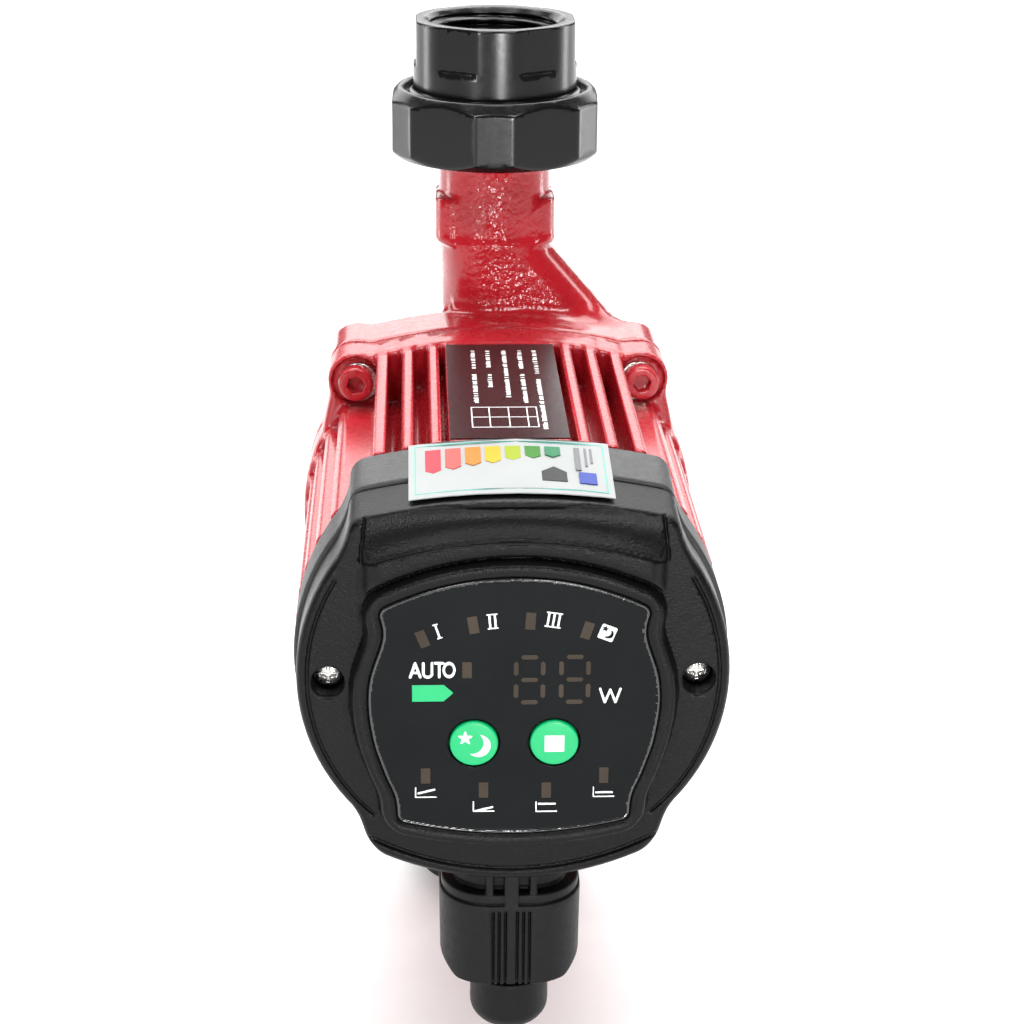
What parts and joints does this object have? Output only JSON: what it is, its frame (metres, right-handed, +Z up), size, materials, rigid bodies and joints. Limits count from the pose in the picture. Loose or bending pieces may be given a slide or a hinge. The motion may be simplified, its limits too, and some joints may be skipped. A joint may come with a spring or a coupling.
{
  "type": "circulator pump",
  "caption": "Wet-rotor heating circulator pump with threaded unions, finned motor, front control box with push buttons and a pull-off mains plug.",
  "frame": {"origin": "first thread of the inlet union's female thread, on the pipe axis", "axes": "+Z up along the pipe axis in flow direction, -Y to the front where the control panel is, +X to the panel's right"},
  "size_m": [0.0988, 0.1686, 0.2386],
  "materials": {
    "red_cast_iron": "red gloss paint over sand-cast iron",
    "red_aluminium": "red gloss paint over die-cast aluminium",
    "black_union": "satin black coated brass",
    "black_plastic": "fine grained black moulding",
    "plug_plastic": "smooth matt black moulding",
    "panel_film": "satin black printed film",
    "green_button": "printed green button",
    "label_black": "dark printed film label",
    "label_white": "printed white film label",
    "zinc_steel": "zinc plated steel",
    "stainless": "drawn stainless steel",
    "rubber_seal": "black rubber",
    "ceramic": "ground ceramic, light cream",
    "carbon": "pressed carbon graphite",
    "magnet": "sintered ferrite",
    "engineering_plastic": "glass filled nylon",
    "core_steel": "stacked electrical sheet",
    "copper": "enamelled copper wire",
    "brass_contact": "bright brass",
    "green_board": "green solder mask",
    "component_plastic": "moulded component bodies",
    "display_plastic": "smoked display block"
  },
  "bodies": {
    "pump": {"pump_housing": "red_cast_iron", "wear_ring": "stainless", "bearing_plate": "stainless", "pump_side_bearing": "carbon", "end_bearing": "carbon", "end_bearing_seat": "rubber_seal", "rotor_can": "stainless", "can_seal": "rubber_seal", "stator_core": "core_steel", "slot_insulators": "engineering_plastic", "windings": "copper", "motor_terminals": "brass_contact", "motor_housing": "red_aluminium", "housing_screws": "zinc_steel", "rating_label": "label_black", "outlet_gasket": "rubber_seal", "inlet_gasket": "rubber_seal", "control_box_base": "black_plastic", "control_box_cover": "black_plastic", "panel_foil": "panel_film", "cover_screws": "zinc_steel", "box_screws": "zinc_steel", "cover_seal": "rubber_seal", "power_board": "green_board", "capacitors": "component_plastic", "choke": "component_plastic", "driver_module": "component_plastic", "display_board": "green_board", "tact_switches": "component_plastic", "digit_display": "display_plastic", "indicator_lamps": "display_plastic", "energy_label": "label_white", "mains_socket": "plug_plastic"},
    "rotor": {"impeller": "engineering_plastic", "shaft": "ceramic", "rotor_magnet": "magnet", "rotor_sleeve": "stainless", "thrust_bearing": "carbon"},
    "outlet_tail": {"outlet_tailpiece": "black_union"},
    "outlet_nut": {"outlet_union_nut": "black_union"},
    "inlet_tail": {"inlet_tailpiece": "black_union"},
    "inlet_nut": {"inlet_union_nut": "black_union"},
    "night_button": {"button_night": "green_button"},
    "mode_button": {"button_mode": "green_button"},
    "plug": {"plug_body": "plug_plastic", "plug_contacts": "brass_contact"},
    "seal": {"gland_seal": "rubber_seal"},
    "gland": {"gland_nut": "plug_plastic"}
  },
  "joints": [
    {"name": "rotor_spin", "type": "hinge", "parent": "pump", "child": "rotor", "pos_m": [0, -0.06, 0.118], "axis": [0, -1, 0], "continuous": true},
    {"name": "outlet_tail_lift", "type": "slide", "parent": "pump", "child": "outlet_tail", "axis": [0, 0, 1], "range_m": [0, 0.0046]},
    {"name": "outlet_nut_turn", "type": "hinge", "parent": "outlet_tail", "child": "outlet_nut", "pos_m": [0, 0, 0.212], "axis": [0, 0, 1], "range_deg": [0, 720]},
    {"name": "inlet_tail_drop", "type": "slide", "parent": "pump", "child": "inlet_tail", "axis": [0, 0, -1], "range_m": [0, 0.0046]},
    {"name": "inlet_nut_turn", "type": "hinge", "parent": "inlet_tail", "child": "inlet_nut", "pos_m": [0, 0, 0.024], "axis": [0, 0, -1], "range_deg": [0, 720]},
    {"name": "night_button_press", "type": "slide", "parent": "pump", "child": "night_button", "axis": [0, 1, 0], "range_m": [0, 0.0005], "stiffness_N_per_m": 4000, "springref_m": -0.0001},
    {"name": "mode_button_press", "type": "slide", "parent": "pump", "child": "mode_button", "axis": [0, 1, 0], "range_m": [0, 0.0005], "stiffness_N_per_m": 4000, "springref_m": -0.0001},
    {"name": "plug_pull", "type": "slide", "parent": "pump", "child": "plug", "axis": [0, 0, -1], "range_m": [0, 0.016]},
    {"name": "gland_seal_drop", "type": "slide", "parent": "plug", "child": "seal", "axis": [0, 0, -1], "range_m": [0, 0.0045]},
    {"name": "gland_nut_turn", "type": "hinge", "parent": "seal", "child": "gland", "pos_m": [0, -0.122, 0.03], "axis": [0, 0, -1], "range_deg": [0, 1081]}
  ],
  "couplings": [
    {"joint": "outlet_nut_turn", "follows": "outlet_tail_lift", "rad_per_m": 2721.2},
    {"joint": "inlet_nut_turn", "follows": "inlet_tail_drop", "rad_per_m": 2721.2},
    {"joint": "gland_nut_turn", "follows": "gland_seal_drop", "rad_per_m": 4188.8}
  ]
}
